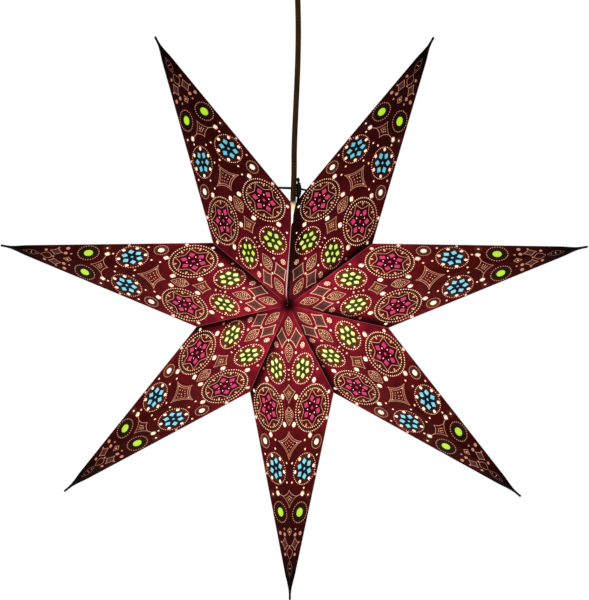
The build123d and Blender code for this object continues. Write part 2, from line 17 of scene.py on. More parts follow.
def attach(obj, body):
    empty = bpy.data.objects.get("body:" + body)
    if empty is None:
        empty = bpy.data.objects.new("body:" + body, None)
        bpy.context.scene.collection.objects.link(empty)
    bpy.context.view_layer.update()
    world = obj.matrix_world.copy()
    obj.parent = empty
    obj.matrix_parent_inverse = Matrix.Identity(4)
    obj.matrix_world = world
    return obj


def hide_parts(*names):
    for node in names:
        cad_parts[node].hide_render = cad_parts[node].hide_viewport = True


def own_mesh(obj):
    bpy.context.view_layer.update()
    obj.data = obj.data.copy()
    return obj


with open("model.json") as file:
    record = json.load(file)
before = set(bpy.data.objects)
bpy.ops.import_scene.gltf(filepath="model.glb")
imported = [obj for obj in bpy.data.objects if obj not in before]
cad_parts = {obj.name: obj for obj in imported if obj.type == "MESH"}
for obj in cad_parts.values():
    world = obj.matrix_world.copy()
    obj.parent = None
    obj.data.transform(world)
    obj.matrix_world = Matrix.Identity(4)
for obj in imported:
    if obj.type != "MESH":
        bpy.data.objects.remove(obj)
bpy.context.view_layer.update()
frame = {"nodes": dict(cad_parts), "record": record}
nodes = frame["nodes"]
scene = bpy.context.scene
MM = 0.001

# %% [markdown]
# ## Sizes of the star
# A point lies along +X in its own frame, with its depth along Y and its width along Z, in millimetres.
# Each of its four walls is a flat triangle from the apex to the tip and the notch, so a wall has flat
# coordinates: along the ridge from the apex, and across from the ridge to the notch.

# %% Star sizes and the flat wall
POINTS = 7
TIP_RADIUS = 300.0
NOTCH_RADIUS = 100.0
APEX_DEPTH = 75.0
SEAM_GAP = 4.96
CARD = 0.4
PAPER = 0.15
STAR = Vector((-4.5, 0.0, -378.0))

half_angle = math.radians((360 - SEAM_GAP) / POINTS / 2)
apex = Vector((0, -APEX_DEPTH, 0))
tip = Vector((TIP_RADIUS, 0, 0))
notch = Vector((math.cos(half_angle), 0, math.sin(half_angle))) * NOTCH_RADIUS
wall_x = (tip - apex).normalized()
wall_length = (tip - apex).length
notch_along = (notch - apex).dot(wall_x)
wall_y = (notch - apex - wall_x * notch_along).normalized()
notch_across = (notch - apex).dot(wall_y)
wall_out = (tip - apex).cross(notch - apex).normalized()
boundary_out = Vector((-math.sin(half_angle), 0, math.cos(half_angle)))
WALLS = [(face, side) for face in (1, -1) for side in (1, -1)]


def point_angle(number):
    """Direction of a point, counted from the open seam round to the left."""
    return math.radians(90 + SEAM_GAP / 2) + (2 * number - 1) * half_angle


def point_matrix(number):
    """From a point's own frame in millimetres to the row frame in metres."""
    turn = Matrix.Rotation(-point_angle(number), 4, "Y")
    return Matrix.Translation(STAR * MM) @ turn @ Matrix.Scale(MM, 4)


def body_of_point(number):
    return "lamp" if number == 4 else f"star_point_{number}"


print("wall", round(wall_length, 1), "long, notch at", round(notch_along, 1), round(notch_across, 1))

# %% [markdown]
# ## Camera
# The photograph looks at the star almost square on, from a little to the right and a little above.

# %% Camera
CAMERA_DISTANCE = 2.5
AZIMUTH, ELEVATION = math.radians(3.0), math.radians(2.0)
VIEW_HEIGHT = 0.6037
SENSOR = 36.0
IMAGE_WIDTH, IMAGE_HEIGHT = 589, 600
STAR_PIXEL = (292.4, 302.4)
PIXEL = VIEW_HEIGHT / IMAGE_HEIGHT


def new_object(name, data):
    made = bpy.data.objects.new(name, data)
    scene.collection.objects.link(made)
    return made


camera_data = bpy.data.cameras.new("camera")
camera = new_object("camera", camera_data)
scene.camera = camera
level = math.cos(ELEVATION)
camera_back = Vector((math.sin(AZIMUTH) * level, -math.cos(AZIMUTH) * level, math.sin(ELEVATION)))
camera_turn = (-camera_back).to_track_quat("-Z", "Y")
camera_right = camera_turn @ Vector((1, 0, 0))
camera_up = camera_turn @ Vector((0, 1, 0))
aim = STAR * MM
aim += camera_right * (IMAGE_WIDTH / 2 - STAR_PIXEL[0]) * PIXEL
aim += camera_up * (STAR_PIXEL[1] - IMAGE_HEIGHT / 2) * PIXEL
camera.rotation_mode = "QUATERNION"
camera.rotation_quaternion = camera_turn
camera.location = aim + camera_back * CAMERA_DISTANCE
camera_data.sensor_width = SENSOR
camera_data.lens = SENSOR * CAMERA_DISTANCE / VIEW_HEIGHT
print("camera lens", round(camera_data.lens, 1))

# %% [markdown]
# ## Cord
# The cord is one smooth line from the ceiling gland to the lamp holder. A NURBS curve with the route's
# points as control points bends gently, as a flexible lead under load does.

# %% Pendant cord
CORD_POINTS = [(0, -50), (1.6, -90), (1.2, -134), (-0.8, -178), (-2.8, -222), (-2.7, -250), (-4.1, -280)]
CORD_POINTS.append((STAR.x, -302.65))
CORD_DIAMETER = 0.0056
CORD_STEPS, CORD_ROUNDNESS = 24, 6


def new_curve(name, roundness=None):
    """An empty curve in space: a bare line, or a round cord whose points give its radius."""
    curve = bpy.data.curves.new(name, "CURVE")
    curve.dimensions = "3D"
    if roundness is not None:
        curve.bevel_depth = 1.0
        curve.bevel_resolution = roundness
        curve.use_fill_caps = True
    return curve


def smooth_spline(curve, places, steps):
    """A NURBS line with the given places as control points."""
    spline = curve.splines.new("NURBS")
    spline.points.add(len(places) - 1)
    for point, place in zip(spline.points, places):
        point.co = (*place, 1)
    spline.order_u = 3
    spline.use_endpoint_u = True
    spline.resolution_u = steps
    return spline


def as_mesh(curve):
    """The mesh of a curve, read through an object that is made for it."""
    holder = bpy.data.objects.new(curve.name, curve)
    mesh = bpy.data.meshes.new_from_object(holder)
    bpy.data.objects.remove(holder)
    return mesh


cord_curve = new_curve("pendant_cord_visual", CORD_ROUNDNESS)
cord_line = smooth_spline(cord_curve, [(x * MM, 0, z * MM) for x, z in CORD_POINTS], CORD_STEPS)
for point in cord_line.points:
    point.radius = CORD_DIAMETER / 2
cord = new_object("pendant_cord_visual", cord_curve)
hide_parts("pendant_cord")
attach(cord, "cord")

# %% [markdown]
# ## Helpers for shader nodes
# A material is a graph of nodes. These small helpers add a node, link or set its inputs, and hand back
# its result, so that a formula reads from top to bottom. Colours are given without their alpha.


# %% Node helpers
def fill(tree, node, inputs):
    """Links or sets a node's inputs."""
    for name, value in inputs.items():
        socket = node.inputs[name]
        if isinstance(value, bpy.types.NodeSocket):
            tree.links.new(value, socket)
        elif socket.type == "RGBA":
            socket.default_value = (*value, 1)
        else:
            socket.default_value = value


def add_node(tree, kind, inputs=None, **settings):
    """Adds a shader node, sets its properties and fills its inputs."""
    node = tree.nodes.new("ShaderNode" + kind)
    for name, value in settings.items():
        setattr(node, name, value)
    fill(tree, node, inputs or {})
    return node


def maths(tree, operation, a, b=0.0, clamp=False):
    return add_node(tree, "Math", {0: a, 1: b}, operation=operation, use_clamp=clamp).outputs[0]


def ramp(tree, value, low, high, to_low=0.0, to_high=1.0):
    """A smooth step from to_low at low to to_high at high."""
    inputs = {"Value": value, "From Min": low, "From Max": high, "To Min": to_low, "To Max": to_high}
    return add_node(tree, "MapRange", inputs, interpolation_type="SMOOTHSTEP").outputs[0]


def formula(tree):
    """Plus, minus, times and ramp for one graph, so that a formula reads like one."""
    sums = [partial(maths, tree, operation) for operation in ("ADD", "SUBTRACT", "MULTIPLY")]
    return [*sums, partial(ramp, tree)]


def blend(tree, share, a, b, mode="MIX"):
    inputs = {0: share, 6: a, 7: b}
    return add_node(tree, "Mix", inputs, data_type="RGBA", blend_type=mode).outputs[2]


def noise(tree, place, scale, detail=2.0, roughness=0.5):
    inputs = {"Vector": place, "Scale": scale, "Detail": detail, "Roughness": roughness}
    return add_node(tree, "TexNoise", inputs).outputs["Fac"]


def bump(tree, height, strength, distance):
    inputs = {"Height": height, "Strength": strength, "Distance": distance}
    return add_node(tree, "Bump", inputs).outputs["Normal"]


# %% Groups and materials
def new_group(name, *inputs):
    """A shader node group with named inputs, and the sockets that hand them in."""
    group = bpy.data.node_groups.new(name, "ShaderNodeTree")
    for label in inputs:
        group.interface.new_socket(name=label, in_out="INPUT", socket_type="NodeSocketFloat")
    return group, group.nodes.new("NodeGroupInput").outputs


def hand_out(group, results):
    """Gives a group its named results."""
    for label in results:
        group.interface.new_socket(name=label, in_out="OUTPUT", socket_type="NodeSocketFloat")
    leave = group.nodes.new("NodeGroupOutput")
    fill(group, leave, results)
    print("group", group.name, "gives", ", ".join(results))


def use_group(tree, group, inputs=None):
    return add_node(tree, "Group", inputs, node_tree=group).outputs


def lit_by(light, strength=1.0):
    return {"Emission Color": light, "Emission Strength": strength}


def new_material(name):
    """An empty material with its Principled shader."""
    material = bpy.data.materials.new(name)
    material.use_nodes = True
    material.cycles.emission_sampling = "NONE"
    tree = material.node_tree
    tree.nodes.clear()
    shader = add_node(tree, "BsdfPrincipled")
    add_node(tree, "OutputMaterial", {"Surface": shader.outputs["BSDF"]})
    print("material", name)
    return material, tree, shader


# %% [markdown]
# ## Light
# The ground behind the star is pure white, so the world shows white to the camera and gives the star only
# soft light. A large area light stands for a window, and a pale round floor lies below the star.

# %% Soft studio light
SOFT_LIGHT, SOFT_TINT = 0.30, (1.0, 0.98, 0.96)
WINDOW_SIZE, WINDOW_POWER, WINDOW_PLACE = 1.6, 10.0, (-1.3, -2.0, 0.9)
world = bpy.data.worlds.new("studio")
scene.world = world
world.use_nodes = True
tree = world.node_tree
tree.nodes.clear()
seen = add_node(tree, "Background", {"Color": (1, 1, 1)})
soft = add_node(tree, "Background", {"Color": SOFT_TINT, "Strength": SOFT_LIGHT})
ray = add_node(tree, "LightPath")
choice = {"Fac": ray.outputs["Is Camera Ray"], 1: soft.outputs[0], 2: seen.outputs[0]}
choose = add_node(tree, "MixShader", choice)
add_node(tree, "OutputWorld", {"Surface": choose.outputs[0]})
scene.view_settings.view_transform = "Standard"

window = bpy.data.lights.new("window_light", "AREA")
window.size = WINDOW_SIZE
window.energy = WINDOW_POWER
window_object = new_object("window_light", window)
window_object.location = WINDOW_PLACE
window_object.rotation_mode = "QUATERNION"
window_object.rotation_quaternion = (STAR * MM - window_object.location).to_track_quat("-Z", "Y")
print("window light", WINDOW_POWER, "W")

# %% [markdown]
# ## Where on the wall
# The card, its printed lines and the papers all change with their place on the wall: light falls off
# away from the lamp, and the valleys, edges and tips have shades of their own. One group turns the flat
# wall coordinates, kept in a UV map, into those distances and into the share of lamp light. The side of a
# valley with the glue tabs is painted in shade, and the other side ends in a pale crease: the card's cut
# edge, brightened with a painted highlight. A mark on the map's first number paints the two upper points
# dimmer, as shade from the lamp holder. One on its second number widens the crease at the open seam or,
# if negative, the painted shade there.

# %% Wall light group: distances on the wall
WALL_MAP = "wall"
SEAM_MARK = 1.0
valley_slope = notch_across / notch_along
edge_slope = notch_across / (wall_length - notch_along)

wall_light, _ = new_group("wall light")
plus, minus, times, step = formula(wall_light)
calc = partial(maths, wall_light)
flat = add_node(wall_light, "UVMap", uv_map=WALL_MAP)
flat = add_node(wall_light, "SeparateXYZ", {0: flat.outputs["UV"]}).outputs
upper = calc("GREATER_THAN", flat["X"], SEAM_MARK / 2)
along = times(minus(flat["X"], times(upper, SEAM_MARK)), 1 / MM)
seam = calc("GREATER_THAN", flat["Y"], SEAM_MARK / 2)
dark_seam = calc("LESS_THAN", flat["Y"], -SEAM_MARK / 2)
signed = times(minus(flat["Y"], times(minus(seam, dark_seam), SEAM_MARK)), 1 / MM)
across = calc("ABSOLUTE", signed)
side = calc("GREATER_THAN", signed, 0.0)
valley = times(minus(times(along, valley_slope), across), math.cos(math.atan(valley_slope)))
left_over = minus(wall_length, along)
edge = times(minus(times(left_over, edge_slope), across), math.cos(math.atan(edge_slope)))

# %% Wall light group: lamp light, shade and crease
LAMP_FOOT = (-apex.dot(wall_x), -apex.dot(wall_y))
LAMP_HEIGHT = abs(apex.dot(wall_out))
NEAREST, FALLOFF = 60.0, 0.9
HOLDER_REACH, HOLDER_SHADE = (20.0, 90.0), (0.3, 0.52)
SHADE_WIDTH, SEAM_SHADE_WIDTH = (2.0, 16.0), (5.0, 24.0)
SHADE_REACH, SHADE_DEPTH = (5.0, 45.0), (0.4, 0.95)
CREASE_WIDTH, CREASE_SHARE, CREASE_START = 0.35, 0.25, (6.0, 14.0)
SEAM_CREASE_REACH, SEAM_CREASE_WIDTH = (25.0, 60.0), (1.6, 0.1)

run, reach = minus(along, LAMP_FOOT[0]), minus(across, LAMP_FOOT[1])
squares = plus(plus(times(run, run), LAMP_HEIGHT**2), times(reach, reach))
share = calc("DIVIDE", NEAREST**2, squares)
glow = calc("POWER", share, FALLOFF, clamp=True)
glow = times(glow, minus(1.0, times(upper, step(along, *HOLDER_REACH, *HOLDER_SHADE))))
depth = minus(1.0, step(valley, *SHADE_WIDTH))
wide = minus(1.0, step(valley, *SEAM_SHADE_WIDTH))
depth = calc("MAXIMUM", depth, times(dark_seam, wide))
depth = times(times(depth, minus(1.0, side)), step(along, *SHADE_REACH, *SHADE_DEPTH))
line_width = plus(CREASE_WIDTH, times(seam, step(along, *SEAM_CREASE_REACH, *SEAM_CREASE_WIDTH)))
crease = times(calc("LESS_THAN", valley, line_width), side)
crease = times(times(crease, plus(CREASE_SHARE, seam)), step(along, *CREASE_START))
places = {"Along": along, "Across": across, "Edge": edge}
hand_out(wall_light, {**places, "Glow": glow, "Shade": minus(1.0, depth), "Crease": crease})
print("lamp foot", [round(v, 1) for v in LAMP_FOOT], "height", round(LAMP_HEIGHT, 1))

# %% [markdown]
# ## The pattern on a wall
# Every wall carries the same pattern, mirrored at the ridge and at the outer edge. It is drawn flat, as
# closed outlines of five kinds: open holes, windows that a coloured paper closes from inside, pale
# printed lines, orange leaves and greyed diamonds. All outlines run counter-clockwise.


# %% Outlines
def polar(centre, radius, angle):
    return centre[0] + radius * math.cos(angle), centre[1] + radius * math.sin(angle)


def toothed(centre, radii, teeth, start=0.0):
    """A round outline whose radius goes through the given radii once for each tooth."""
    count = teeth * len(radii)
    turn = 2 * math.pi / count
    return [polar(centre, radii[i % len(radii)], start + i * turn) for i in range(count)]


def circle(centre, radius, corners, start=0.0):
    return toothed(centre, [radius], corners, start)


def diamond(centre, half_length, half_width, bow, steps=16, turn=0.0):
    """Four corners joined by sides that bulge (bow 1), run straight (bow 2) or curve inwards."""
    path = []
    for i in range(steps):
        c, s = math.cos(2 * math.pi * i / steps), math.sin(2 * math.pi * i / steps)
        x = math.copysign(half_length * abs(c) ** bow, c)
        y = math.copysign(half_width * abs(s) ** bow, s)
        u = centre[0] + x * math.cos(turn) - y * math.sin(turn)
        v = centre[1] + x * math.sin(turn) + y * math.cos(turn)
        path.append((u, v))
    return path


def leaf(start, end, half_width, steps=12):
    """A pointed oval on the ridge."""
    lower = []
    for i in range(steps + 1):
        lower.append((start + (end - start) * i / steps, -half_width * math.sin(math.pi * i / steps)))
    return lower + [(x, -y) for x, y in lower[-2:0:-1]]


def ribbon(path, width, closed=True):
    """A line of the given width along a path, as a row of rectangles."""
    ends = path[1:] + path[:1] if closed else path[1:]
    made = []
    for (x, y), (u, v) in zip(path, ends):
        scale = width / 2 / math.hypot(u - x, v - y)
        nx, ny = (y - v) * scale, (u - x) * scale
        made.append([(x + nx, y + ny), (x - nx, y - ny), (u - nx, v - ny), (u + nx, v + ny)])
    return made


# %% Motifs
SIX = math.pi / 3
LINE, THIN = 0.8, 0.55
PRICK = 0.68
LOBES = (1.0, 0.92, 0.72, 0.56, 0.72, 0.92)
holes, windows, lines, leaves, greys = [], [], [], [], []


def glow_dots(places, radius):
    """Pale dots, each pricked through in its middle."""
    for place in places:
        lines.append(circle(place, radius, 7))
        holes.append(circle(place, PRICK * radius, 5))


def sparkle(centre, size):
    """A four-lobed hole with a pale rim."""
    holes.append(toothed(centre, [size * lobe for lobe in LOBES], 4))
    lines.append(circle(centre, size + 0.3, 14))


def flower(centre, size):
    glow_dots(circle(centre, 0.72 * size, 7), 0.28 * size)
    glow_dots([centre], 0.36 * size)


# %% Rosettes
PINK, LIME, BLUE = (114.0, 34.3), (69.7, 20.7), (175.4, 22.5)
GREEN, PEARL = (220.0, 15.3), (151.2, 40.7)
PETALS = [
    (PINK, 10.0, 3.9, 3.5, 1.9, 1.8),
    (LIME, 7.6, 3.1, 3.0, 1.6, 1.8),
    (BLUE, 8.0, 3.6, 3.3, 1.9, 1.5),
]
for middle, ring, half_length, half_width, bow, eye in PETALS:
    for i, place in enumerate(circle(middle, ring, 6)):
        windows.append(diamond(place, half_length, half_width, bow, turn=i * SIX))
    windows.append(circle(middle, eye, 8))

GARLAND_STEPS, GARLAND_LOW, GARLAND_SWING = 12, 13.1, 6.4
pink_dots = []
for i, place in enumerate(circle(PINK, 6.65, 6, SIX / 2)):
    pink_dots.append(diamond(place, 0.9, 0.6, 1.0, 8, SIX * (i + 0.5)))
holes += pink_dots
for i, place in enumerate(circle(PINK, 18.3, 6, SIX / 2)):
    lines.append(diamond(place, 1.8, 1.2, 1.2, 8, SIX * (i + 0.5)))
garland = []
for i in range(6 * GARLAND_STEPS):
    sweep = abs(i % GARLAND_STEPS - GARLAND_STEPS / 2) / (GARLAND_STEPS / 2)
    garland.append(polar(PINK, GARLAND_LOW + GARLAND_SWING * sweep**2, i * SIX / GARLAND_STEPS))
lines += ribbon(garland, THIN)
glow_dots(circle(PINK, 20.3, 44), 0.8)
glow_dots(circle(PINK, 24.3, 54), 0.85)

glow_dots(circle(LIME, 13.0, 6, SIX / 2), 1.3)
glow_dots(circle(LIME, 15.5, 34), 0.82)

for place in circle(BLUE, 13.7, 6, SIX / 2):
    lines.append(circle(place, 2.1, 8))
    holes.append(circle(place, 1.75, 8))
glow_dots(circle(BLUE, 16.2, 40), 0.7)

windows.append(toothed(GREEN, [5.2, 4.4], 18))
lines += [circle(place, 0.7, 6) for place in circle(GREEN, 10.7, 26)]
holes.append(circle(PEARL, 3.1, 14))
lines.append(circle(PEARL, 3.5, 14))
lines += [circle(place, 0.6, 6) for place in circle(PEARL, 7.2, 24)]
print(len(windows), "windows in the rosettes")

# %% Stars, dots and leaves along the ridge
BLUE_DOTS = [(145.2, 23.2), (154.8, 23.6), (165.2, 41.1), (164.8, 4.4), (185.2, 4.0), (195.6, 21.5)]
TIP_DOTS = [(242.5, 15.7, 2.1), (241.9, 8.2, 2.0), (236.0, 8.8, 1.1), (251.5, 13.8, 1.0), (263.1, 7.4, 1.7)]
LEAVES = [(12, 31, 5.5), (39, 58.5, 6.0), (104.7, 124.3, 6.2)]
for place in ((85.4, 37.1), (96.9, 10.7), (125.0, 7.4), (142.0, 31.1), (201.0, 19.4)):
    sparkle(place, 2.7)
for place in ((129.8, 56.2), (102.7, 59.2)):
    sparkle(place, 1.8)
glow_dots([*BLUE_DOTS, (75.0, 42.1)], 1.4)
glow_dots([(50.9, 10.7), (36.0, 0.0), (204.5, 27.8), (185.2, 38.4)], 1.5)
flower((45.2, 20.3), 3.4)
for x, y, radius in TIP_DOTS:
    lines.append(circle((x, y), radius, 10))
lines += ribbon(leaf(253.4, 266.0, 4.3), 0.45)
glow_dots([(66.5, 0.9), (71.5, 0.0), (76.5, 0.9)], 0.9)
lines.append(circle((252.2, 0.0), 1.1, 8))

for start, end, half_width in LEAVES:
    path = leaf(start, end, half_width)
    leaves.append(path)
    lines += ribbon(path, THIN)
    for row in range(3):
        for i in range(2, 8 - row):
            x = start + (end - start) * (i + 0.5 * (row % 2)) / 9
            y = 0.34 * row * half_width * math.sin(math.pi * (x - start) / (end - start))
            holes.append(circle((x, y), 0.52, 5))
lines += ribbon(leaf(267.5, 285.5, 3.4), 0.3)
glow_dots([(271.5, 0.0), (276.5, 1.2), (281.5, 0.0)], 0.7)

# %% Diamonds along the ridge
SMALL_DIAMOND = (236.5, 0)
RIDGE_DIAMONDS = [
    (91.2, 10, 9.8, 2.5, (1.0,)),
    (145.2, 15, 18.6, 2.9, (1.0, 0.76)),
    (201.5, 9.5, 11.2, 2.8, (1.0,)),
]
GREY_DIAMONDS = [((35.7, 10.8), 10.6, 8.8, LINE), ((251.9, 7.9), 7.0, 5.0, THIN)]
for middle, half_length, half_width, bow, sizes in RIDGE_DIAMONDS:
    for size in sizes:
        path = diamond((middle, 0), size * half_length, size * half_width, bow, 32)
        lines += ribbon(path, THIN)
    for dot in (-2, -1, 0, 1, 2):
        glow_dots([(middle + 0.16 * half_length * dot, 0.16 * half_width * (2 - abs(dot)))], 0.65)
middle, half_length, half_width, bow, _ = RIDGE_DIAMONDS[0]
leaves.append(diamond((middle, 0), half_length, half_width, bow, 32))
leaves.append(diamond(SMALL_DIAMOND, 4, 3, 2.2))
lines += ribbon(diamond(SMALL_DIAMOND, 4.4, 3.4, 2.2), THIN)
glow_dots([SMALL_DIAMOND], 1.1)
lines += ribbon([(201.4, 11.4), (201.1, 16.0)], LINE, closed=False)
glow_dots([(91.2, 0.0), (201.5, 0.0), (145.2, 0.0), (145.2, 11.4)], 0.8)
for place, half_length, half_width, width in GREY_DIAMONDS:
    path = diamond(place, half_length, half_width, 2.4, 32)
    greys.append(path)
    lines += ribbon(path, width)
pattern = {"hole": holes, "window": windows, "line": lines, "leaf": leaves, "grey": greys}
print({kind: len(outlines) for kind, outlines in pattern.items()}, "outlines on a wall")

# %% [markdown]
# ## Cutting the wall
# A constrained triangulation takes the wall and all outlines together and cuts them at once. It also
# tells which outlines each small triangle lies in, so holes are left out and each kind of print gets a
# material of its own. A boolean modifier would do the same, only far more slowly.


# %% Triangulate one wall
CENTRE_HOLE = 0.12
TIP_CUT = wall_length - 4.1
VALLEY_STEPS, TIP_STEPS, TIP_STEP = 20, 9, 3.0
MIDDLE_RIM, TIP_RIM = 3.0, 1.0
SLOT_CARD, SLOT_LINE, SLOT_INSIDE, SLOT_LEAF, SLOT_GREY = range(5)
PRINT_SLOTS = {"line": SLOT_LINE, "leaf": SLOT_LEAF, "grey": SLOT_GREY}


def triangulate(outlines):
    """Corners, triangles, the outlines that each triangle lies in, and each corner's own outlines."""
    corners, faces, origin = [], [], []
    for number, outline in enumerate(outlines):
        faces.append(list(range(len(corners), len(corners) + len(outline))))
        corners += [Vector(corner) for corner in outline]
        origin += [number] * len(outline)
    found, _, triangles, sources, _, inside = delaunay_2d_cdt(corners, [], faces, 1, 1e-4)
    belongs = [{origin[i] for i in source} for source in sources]
    return [(p.x, p.y) for p in found], [tuple(t) for t in triangles], inside, belongs


def cut_wall():
    """Flat corners, the card's triangles with their material slots, and the corners with dark rims."""
    hole_ridge = (CENTRE_HOLE * wall_length / TIP_RADIUS, 0.0)
    hole_valley = (CENTRE_HOLE * notch_along / NOTCH_RADIUS, CENTRE_HOLE * notch_across / NOTCH_RADIUS)
    stops = [TIP_CUT - TIP_STEP * i for i in range(TIP_STEPS)]
    tip_ridge = [(x, 0.0) for x in stops[::-1]]
    tip_edge = [(x, (wall_length - x) * edge_slope) for x in stops]
    shares = [1 - i / VALLEY_STEPS for i in range(VALLEY_STEPS)]
    valley_line = [(notch_along * share, notch_across * share) for share in shares]
    outlines = [[hole_ridge, *tip_ridge, *tip_edge, *valley_line, hole_valley]]
    kinds = ["wall"]
    for kind, members in pattern.items():
        outlines += members
        kinds += [kind] * len(members)
    corners, triangles, inside, belongs = triangulate(outlines)
    kept, slots = [], []
    for triangle, owners in zip(triangles, inside):
        found = {kinds[owner] for owner in owners}
        if "wall" in found and not found & {"hole", "window"}:
            kept.append(triangle)
            slots.append(next((slot for kind, slot in PRINT_SLOTS.items() if kind in found), SLOT_CARD))
    dark = [any(kinds[number] == "window" for number in owners) for owners in belongs]
    dark = [is_dark or not MIDDLE_RIM < x < TIP_CUT - TIP_RIM for is_dark, (x, y) in zip(dark, corners)]
    return corners, kept, slots, dark


flat_corners, flat_triangles, flat_slots, flat_dark = cut_wall()
print(len(flat_corners), "corners and", len(flat_triangles), "triangles on a wall")

# %% [markdown]
# ## Folding the point
# The flat wall is laid on all four sides of the point. Corners that meet at the ridge and at the outer
# edge are shared, so the card is folded there and not cut. The inside is the same sheet moved in by the
# card's thickness, along the mitre at folds, and short faces close the rim of every hole.


# %% One folded point as a mesh
NEAR = 1e-3
BAKE_MAP = "OFBake"
BAKE_EDGE = 0.5
BAKE_WIDTH = wall_length + notch_along + 4 * BAKE_EDGE
BAKE_ROW = notch_across + 5 * BAKE_EDGE


def step_in(x, y):
    """From a corner of the wall's outside to the inside of the card."""
    folds = [
        (y, Vector((0, 0, 1))),
        ((wall_length - x) * edge_slope - y, Vector((0, 1, 0))),
        (x * valley_slope - y, boundary_out),
    ]
    limits = [out for distance, out in folds if abs(distance) < NEAR]
    free = wall_out
    if len(limits) == 1:
        free = wall_out - limits[0] * wall_out.dot(limits[0])
    elif len(limits) > 1:
        line = limits[0].cross(limits[1]).normalized()
        free = line * wall_out.dot(line)
    return free * (-CARD / free.dot(wall_out))


def open_edges(faces):
    """Edges that only one face uses, in that face's direction, with the face's number."""
    uses = {}
    for number, corners in enumerate(faces):
        for a, b in zip(corners, corners[1:] + corners[:1]):
            uses.setdefault((min(a, b), max(a, b)), []).append((a, b, number))
    return [found[0] for found in uses.values() if len(found) == 1]


def fold_card():
    """The outer and inner skin of a point with its rims, and what each face needs for its maps."""
    places, insides, flats, dark, known = [], [], [], [], {}
    faces, walls, slots = [], [], []
    for number, (face, side) in enumerate(WALLS):
        flip = Vector((1, face, side))
        index = []
        for (x, y), is_dark in zip(flat_corners, flat_dark):
            outside = (apex + wall_x * x + wall_y * y) * flip
            label = tuple(round(v, 3) for v in outside)
            if label not in known:
                known[label] = len(places)
                places.append(outside)
                insides.append(outside + step_in(x, y) * flip)
                flats.append((x, y))
                dark.append(is_dark)
            index.append(known[label])
        for triangle, slot in zip(flat_triangles, flat_slots):
            corners = [index[i] for i in triangle][:: face * side]
            if len(set(corners)) == 3:
                faces.append(corners)
                walls.append(number)
                slots.append(slot)
    shift = len(places)
    skins = [(corners, wall, slot, False) for corners, wall, slot in zip(faces, walls, slots)]
    for corners, wall in zip(faces, walls):
        skins.append(([i + shift for i in corners[::-1]], wall, SLOT_INSIDE, True))
    for a, b, number in open_edges(faces):
        slot = SLOT_CARD if dark[a] and dark[b] else SLOT_LINE
        skins.append(([b, a, a + shift, b + shift], walls[number], slot, True))
    return places + insides, flats + flats, skins


def card_mesh():
    """The folded point with its materials, its wall map and a flat map for baking."""
    places, flats, skins = fold_card()
    mesh = bpy.data.meshes.new("folded_point")
    mesh.from_pydata(places, [], [corners for corners, _, _, _ in skins])
    wall_map = mesh.uv_layers.new(name=WALL_MAP)
    bake_map = mesh.uv_layers.new(name=BAKE_MAP)
    loop = 0
    for polygon, (corners, wall, slot, inner) in zip(mesh.polygons, skins):
        polygon.material_index = slot
        for corner in corners:
            x, y = flats[corner]
            wall_map.data[loop].uv = (x * MM, WALLS[wall][1] * y * MM)
            if inner:
                x, y = wall_length + notch_along - x, notch_across + 3 * BAKE_EDGE - y
            row = y + BAKE_EDGE + wall * BAKE_ROW
            bake_map.data[loop].uv = ((x + BAKE_EDGE) / BAKE_WIDTH, row / BAKE_WIDTH)
            loop += 1
    mesh.validate()
    return mesh


folded_card = card_mesh()
print("folded point", len(folded_card.vertices), "corners", len(folded_card.polygons), "faces")

# %% [markdown]
# ## Papers and tabs
# Coloured papers close the petals from inside, and glue tabs lie under one side of each valley. They are
# thin slabs on the inside of the wall, cut flat and laid on the walls in the same way as the card.


# %% Thin slabs on the inside of the walls
def mapped_mesh(name, places, faces, flats):
    """A mesh whose wall map gives each corner its flat place."""
    mesh = bpy.data.meshes.new(name)
    mesh.from_pydata(places, [], faces)
    wall_map = mesh.uv_layers.new(name=WALL_MAP)
    for corner in mesh.loops:
        wall_map.data[corner.index].uv = flats[corner.vertex_index]
    return mesh


def slab_mesh(name, outlines, walls, depth, thickness, holes=()):
    """Flat outlines with holes as closed slabs under the given walls, at a depth below the outside."""
    corners, triangles, inside, _ = triangulate(outlines + list(holes))
    kept = [list(t) for t, owners in zip(triangles, inside) if max(owners) < len(outlines)]
    count = len(corners)
    skins = kept + [[i + count for i in t[::-1]] for t in kept]
    skins += [[b, a, a + count, b + count] for a, b, _ in open_edges(kept)]
    places, faces, flats = [], [], []
    for face, side in walls:
        flip = Vector((1, face, side))
        faces += [[i + len(places) for i in skin][:: face * side] for skin in skins]
        for level in (depth, depth + thickness):
            for x, y in corners:
                places.append((apex + wall_x * x + wall_y * y - wall_out * level) * flip)
                flats.append((x * MM, side * y * MM))
    mesh = mapped_mesh(name, places, faces, flats)
    for i, polygon in enumerate(mesh.polygons):
        polygon.material_index = 1 if len(kept) <= i % len(skins) < 2 * len(kept) else 0
    print(name, len(mesh.polygons), "faces")
    return mesh


TAB_WIDTH, TAB_START = 8.0, 10.0
valley_length = math.hypot(notch_along, notch_across)
tab_run = Vector((notch_along, notch_across)) / valley_length
tab_in = Vector((tab_run.y, -tab_run.x))
tab_outline = [
    tab_run * TAB_START,
    tab_run * (TAB_START + TAB_WIDTH) + tab_in * TAB_WIDTH,
    tab_run * (valley_length - TAB_START - TAB_WIDTH) + tab_in * TAB_WIDTH,
    tab_run * (valley_length - TAB_START),
]
clockwise = [(face, -1) for face in (1, -1)]

